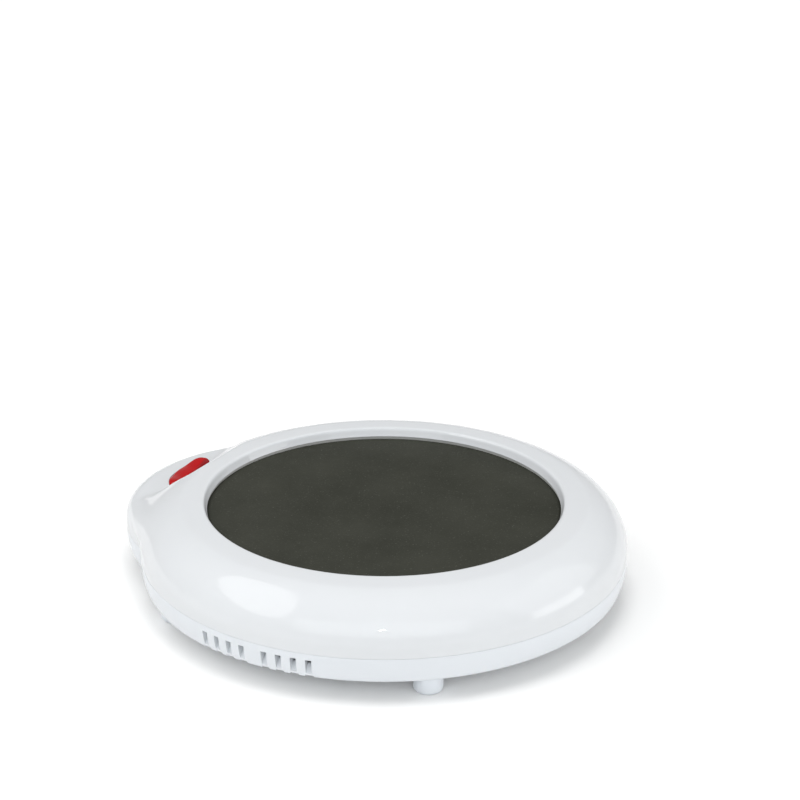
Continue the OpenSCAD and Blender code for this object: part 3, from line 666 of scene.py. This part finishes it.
# leads, as smooth tubes along the routes of the CAD leads
def lead(name, points, node, r=0.9):
    pts = to_m(points)
    c = bpy.data.curves.new(name, "CURVE")
    c.dimensions = "3D"
    c.bevel_depth = r / 1000
    c.bevel_resolution = 5
    c.resolution_u = 8
    s = c.splines.new("NURBS")
    s.points.add(len(pts) - 1)
    for p, q in zip(s.points, pts):
        p.co = (*q, 1)
    s.order_u = 3
    s.use_endpoint_u = True
    c.use_fill_caps = True
    o = bpy.data.objects.new(name, c)
    bpy.context.scene.collection.objects.link(o)
    bpy.context.view_layer.update()
    mesh = bpy.data.meshes.new_from_object(o.evaluated_get(bpy.context.evaluated_depsgraph_get()))
    bpy.data.objects.remove(o)
    o = bpy.data.objects.new(name, mesh)
    bpy.context.scene.collection.objects.link(o)
    mesh.polygons.foreach_set("use_smooth", [True] * len(mesh.polygons))
    mesh.set_sharp_from_angle(angle=math.radians(50))
    give(o, "lead")
    return settle(o, "case", node)


FUSE_Z = Z_PLATE - 1 - 2.26 - 2.6
lead("lead_from_switch", [(-17.2, 62.2, 8.5), (-18.8, 60.4, 8.8), (-19.0, 56, 9.3), (-18.5, 51, 9.9), (-8, 43.5, 10.2), (6, 33, 10.5), (9.4, 30.4, 11.2), (10, 30, 12.5), (10, 30, 14.6),
                          (11.5, 29, 15.6), (26, 22, 16.9), (26.2, 19, 17.1), (24.7, 15, FUSE_Z)], "switch_lead")
lead("lead_from_fuse", [(-6.95, 15, FUSE_Z), (-9.4, 12.4, FUSE_Z - 0.3), (-10, 8, FUSE_Z - 0.5), (-10, -30, 16.2), (-9.7, -36, 16.0), (-7.5, -40.2, 15.7), (-4.95, -40.25, 15.7)], "fuse_lead")
lead("lead_from_heater", [(3, -41.2, 13.9), (3, -41.35, 11.6), (3, -40.9, 10.6), (3.2, -36, 9.7), (10, -10, 9.1), (16.8, 18, 9.1), (16.8, 26, 9.2), (16.5, 36, 9.3), (14.1, 42.7, 9.7)], "heater_lead")

# CAD nodes whose own shape is right get a finished material
finish = {
    "case_screws": "screw", "plate_gasket": "gasket", "upper_mica": "mica", "lower_mica": "mica", "heater_element": "ribbon", "element_terminals": "brass",
    "clamp_plate": "zinc", "clamp_nuts": "screw", "heater_bracket": "zinc", "bracket_screws": "screw", "heat_shield": "alu", "thermal_fuse": "fuse",
    "fuse_sleeve": "sleeve", "fuse_clip": "zinc", "clip_screw": "screw", "rocker_pin": "screw", "switch_plunger": "nylon", "plunger_spring": "zinc",
    "contact_lever": "brass", "switch_housing": "black", "housing_screws": "screw", "common_terminal": "brass", "load_terminal": "brass",
    "splice_caps": "splice", "cord_clamp": "gland", "clamp_screws": "screw",
}
for node_name, mat in finish.items():
    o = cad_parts[node_name]
    if not len(o.material_slots):
        o.data.materials.append(M[mat])
    for s in o.material_slots:
        s.material = M[mat]

# ---------------------------------------------------------------- stage, light and camera
floor_mesh = bpy.data.meshes.new("floor")
bm = bmesh.new()
bmesh.ops.create_grid(bm, x_segments=8, y_segments=8, size=4.0)
bm.to_mesh(floor_mesh)
bm.free()
floor = bpy.data.objects.new("floor", floor_mesh)
bpy.context.scene.collection.objects.link(floor)
fm, ft, fb = nodes_of("floor_painted_glow_ring")
fb.inputs["Base Color"].default_value = (0.95, 0.945, 0.935, 1)
fb.inputs["Roughness"].default_value = 0.9
fb.inputs["Specular IOR Level"].default_value = 0.0
# painted light: the floor glows in a ring, faint within about 0.26 m of the case, strongest from 0.84 m to 1.1 m out
# and faint again past 1.36 m, so the far floor turns white while the shade near the case stays
fb.inputs["Emission Color"].default_value = (1.0, 0.99, 0.98, 1)
fc = ft.nodes.new("ShaderNodeTexCoord")
fd = ft.nodes.new("ShaderNodeVectorMath")
fd.operation = "LENGTH"
ft.links.new(fc.outputs["Object"], fd.inputs[0])
fr = ft.nodes.new("ShaderNodeMapRange")
fr.inputs["From Max"].default_value = 2.0
ft.links.new(fd.outputs["Value"], fr.inputs["Value"])
glow = ramp(ft, fr.outputs["Result"], [(0.13, grey(0.03)), (0.42, grey(0.33)), (0.55, grey(0.33)), (0.68, grey(0.03))])
ft.links.new(glow.outputs["Color"], fb.inputs["Emission Strength"])
floor_mesh.materials.append(fm)

world = bpy.data.worlds.new("studio")
bpy.context.scene.world = world
world.use_nodes = True
world.node_tree.nodes.clear()
room = world.node_tree.nodes.new("ShaderNodeBackground")
room.inputs["Color"].default_value = (0.97, 0.985, 1.0, 1)
room.inputs["Strength"].default_value = 0.38
world.node_tree.links.new(room.outputs[0], world.node_tree.nodes.new("ShaderNodeOutputWorld").inputs["Surface"])


def area(name, loc, target, size, power, shape="RECTANGLE"):
    l = bpy.data.lights.new(name, "AREA")
    l.shape = shape
    l.size, l.size_y = size
    l.energy = power
    o = bpy.data.objects.new(name, l)
    bpy.context.scene.collection.objects.link(o)
    o.location = loc
    o.rotation_euler = (Vector(target) - Vector(loc)).to_track_quat("-Z", "Y").to_euler()
    return o


# camera: the photograph's own viewpoint
YAW, PITCH, ROLL, F_PX = 0.0075, 0.3768, 0.0047, 2240.92
TURN = math.radians(-60)
rot = Matrix.Rotation(TURN, 3, "Z")
eye = rot @ Vector((0, -528.73, 262.01))
fw = rot @ Vector((math.sin(YAW) * math.cos(PITCH), math.cos(YAW) * math.cos(PITCH), -math.sin(PITCH)))
right = fw.cross(Vector((0, 0, 1))).normalized()
up = right.cross(fw)
r2 = math.cos(ROLL) * right + math.sin(ROLL) * up
u2 = -math.sin(ROLL) * right + math.cos(ROLL) * up
cam_data = bpy.data.cameras.new("photo_camera")
cam_data.sensor_fit = "HORIZONTAL"
cam_data.sensor_width = 36.0
cam_data.lens = F_PX / 800 * 36.0
cam_data.clip_start, cam_data.clip_end = 0.01, 50
cam = bpy.data.objects.new("photo_camera", cam_data)
bpy.context.scene.collection.objects.link(cam)
m4 = Matrix((r2, u2, -fw)).transposed().to_4x4()
m4.translation = Vector((eye.x, eye.y - MID_Y, eye.z)) / 1000
cam.matrix_world = m4
bpy.context.scene.camera = cam

side = Vector((r2.x, r2.y, 0)).normalized()
ahead = Vector((fw.x, fw.y, 0)).normalized()
here = Vector((0, 0, 0.01))


def spot(right_m, ahead_m, up_m):
    return here + side * right_m + ahead * ahead_m + Vector((0, 0, up_m))


def softbox(name, az, el, dist, size, radiance, color=(1, 1, 1), roll=0.0, mirrored=True, round_=False):
    """A panel of even brightness seen from the object at az degrees to the right of straight ahead and el degrees up. radiance is what a mirror would show."""
    a, e = math.radians(az), math.radians(el)
    loc = here + dist * (side * math.sin(a) * math.cos(e) + ahead * math.cos(a) * math.cos(e) + Vector((0, 0, math.sin(e))))
    power = radiance * math.pi * size[0] * size[1]
    o = area(name, loc, here, size, power * math.pi / 4 if round_ else power, "ELLIPSE" if round_ else "RECTANGLE")
    o.data.color = color
    o.visible_glossy = mirrored
    if roll:
        o.rotation_euler = (o.rotation_euler.to_matrix() @ Matrix.Rotation(math.radians(roll), 3, "Z")).to_euler()
    return o


softbox("front_fill", 180, 30, 1.6, (2.3, 0.9), 1.37, (0.925, 0.97, 1.0))
softbox("top_key", 180, 86, 1.3, (0.6, 0.6), 4.5, mirrored=False)
softbox("top_fill", 0, 80, 1.3, (1.0, 1.0), 0.3, mirrored=False)
softbox("left_window", -100.9, 48.7, 1.0, (1.16, 0.53), 2.4, roll=-38.7, round_=True)
softbox("right_window", 97, 7, 0.95, (0.52, 0.24), 3.0)
softbox("right_fill", 88, 32, 1.7, (1.5, 1.2), 0.9)
softbox("camera_lamp", 180, 30.5, 0.8, (0.032, 0.032), 60.0)

bpy.context.scene.view_settings.view_transform = "Standard"
bpy.context.scene.view_settings.look = "None"
